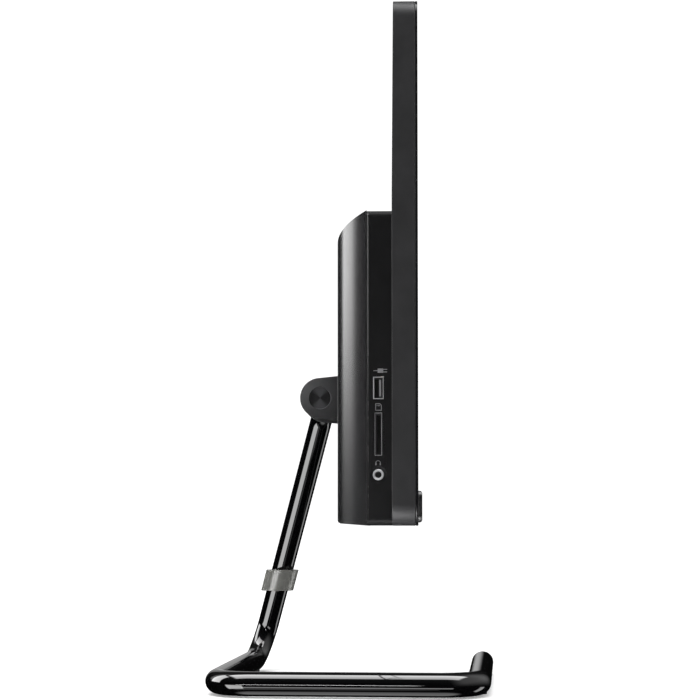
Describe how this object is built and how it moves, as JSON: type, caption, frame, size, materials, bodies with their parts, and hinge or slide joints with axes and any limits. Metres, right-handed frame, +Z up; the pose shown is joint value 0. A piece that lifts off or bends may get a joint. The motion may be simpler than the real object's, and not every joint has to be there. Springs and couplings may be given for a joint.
{
  "type": "all in one pc",
  "caption": "All-in-one desktop computer: thin display slab with rear housing, tilting on a hinge at the top of an open stand bent from a single tube.",
  "frame": {"origin": "centre of the object's footprint at table level", "axes": "+Z up; the screen faces -Y; +X is to the right of a person facing the screen"},
  "size_m": [0.49, 0.1873, 0.4016],
  "materials": {
    "shell": "fine satin black plastic",
    "cover_shell": "semi-gloss black plastic",
    "bezel_gloss": "piano black",
    "tube_gloss": "high-gloss black lacquer on steel tube",
    "screen": "dark display glass",
    "film": "white optical film",
    "mesh": "dark perforated grille",
    "cap": "satin dark plastic",
    "rubber": "black rubber",
    "clip": "smoky translucent plastic",
    "spun_cap": "dark spun metal",
    "bronze": "bearing bronze",
    "copper": "copper",
    "fins": "plain aluminium",
    "board": "green circuit board",
    "chip": "chip package",
    "ribbon": "flat ribbon cable",
    "dark_plastic": "black moulded plastic",
    "port_metal": "plated socket shell",
    "steel": "zinc-plated steel"
  },
  "bodies": {
    "stand": {"stand_tube": "tube_gloss", "tube_cap": "cap", "foot_pads": "rubber", "axle_sleeve": "steel", "spring_washers": "bronze"},
    "head": {"back_cover": "shell", "front_bezel": "bezel_gloss", "lcd_panel": "screen", "diffuser_films": "film", "light_guide": "film", "led_strip": "film", "backlight_tray": "steel", "tcon_board": "board", "display_cable": "ribbon", "mid_frame": "steel", "speaker_bar": "bezel_gloss", "speaker_mesh": "mesh", "speaker_left": "dark_plastic", "speaker_right": "dark_plastic", "camera_lens": "screen", "camera_board": "board", "antennas": "steel", "housing_frame": "shell", "rear_cover": "cover_shell", "rear_screws": "steel", "lock_plate": "steel", "hinge_cover": "shell", "hinge_cap": "spun_cap", "hinge_bracket": "steel", "hinge_yoke": "steel", "hinge_bushes": "bronze", "yoke_bolts": "steel", "usb_side_port": "port_metal", "card_slot": "port_metal", "audio_jack": "dark_plastic", "side_board": "board", "side_ribbon": "ribbon", "hdmi_port": "port_metal", "usb_ports": "port_metal", "lan_port": "port_metal", "dc_jack": "dark_plastic", "motherboard": "board", "board_screws": "steel", "cpu": "chip", "heat_pipe": "copper", "heat_sink": "fins", "fan_housing": "dark_plastic", "memory_socket": "dark_plastic", "memory_modules": "board", "hard_drive": "steel", "drive_bracket": "steel", "wifi_card": "board", "coin_cell": "port_metal", "power_switch": "dark_plastic"},
    "fan_rotor": {"fan_impeller": "dark_plastic"},
    "button": {"power_button": "cap"},
    "clip": {"cable_clip": "clip"}
  },
  "joints": [
    {"name": "head_tilt", "type": "hinge", "parent": "stand", "child": "head", "pos_m": [0, 0.0244, 0.19], "axis": [-1, 0, 0], "range_deg": [-5, 20]},
    {"name": "fan_spin", "type": "hinge", "parent": "head", "child": "fan_rotor", "pos_m": [0.133, -0.0091, 0.2269], "axis": [0, 1, 0], "continuous": true},
    {"name": "power_press", "type": "slide", "parent": "head", "child": "button", "axis": [-1, 0, 0], "range_m": [0, 0.0008], "stiffness_N_per_m": 2500, "springref_m": -0.0006},
    {"name": "clip_slide", "type": "slide", "parent": "stand", "child": "clip", "axis": [0.3539, 0.2562, -0.8995], "range_m": [-0.07, 0.014]}
  ]
}
